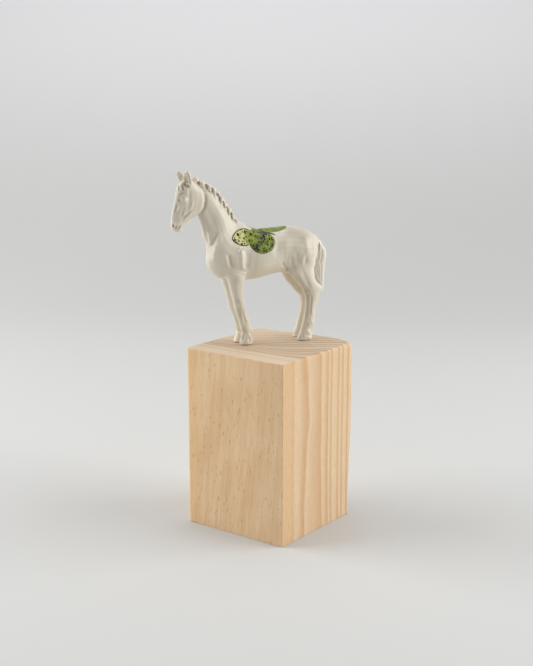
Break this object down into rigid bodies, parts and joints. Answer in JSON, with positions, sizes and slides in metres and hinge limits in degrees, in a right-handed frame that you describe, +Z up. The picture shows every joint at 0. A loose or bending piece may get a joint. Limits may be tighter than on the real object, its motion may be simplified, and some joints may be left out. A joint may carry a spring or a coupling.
{
  "type": "horse figurine",
  "caption": "Ivory standing horse figurine with a plaited mane and a green butterfly on its back, pinned by its hooves to a square upright block of pale wood.",
  "frame": {"origin": "centre of the wood block's bottom face", "axes": "+Z up, -X the way the horse faces, -Y the horse's left side"},
  "size_m": [0.1063, 0.0952, 0.2163],
  "materials": {
    "pine": "planed, unvarnished pine",
    "ivory_resin": "satin ivory paint on cast resin",
    "wing_film": "printed transfer film, satin",
    "dark_film": "printed transfer film, satin",
    "steel": "drawn wire"
  },
  "bodies": {
    "root": {"wood_block": "pine", "horse_body": "ivory_resin", "head": "ivory_resin", "left_ear": "ivory_resin", "right_ear": "ivory_resin", "forelock": "ivory_resin", "mane": "ivory_resin", "tail": "ivory_resin", "front_left_leg": "ivory_resin", "front_right_leg": "ivory_resin", "hind_left_leg": "ivory_resin", "hind_right_leg": "ivory_resin", "butterfly_left_wings": "wing_film", "butterfly_right_wings": "wing_film", "butterfly_body": "dark_film", "front_left_pin": "steel", "front_right_pin": "steel", "hind_left_pin": "steel", "hind_right_pin": "steel"}
  },
  "joints": []
}
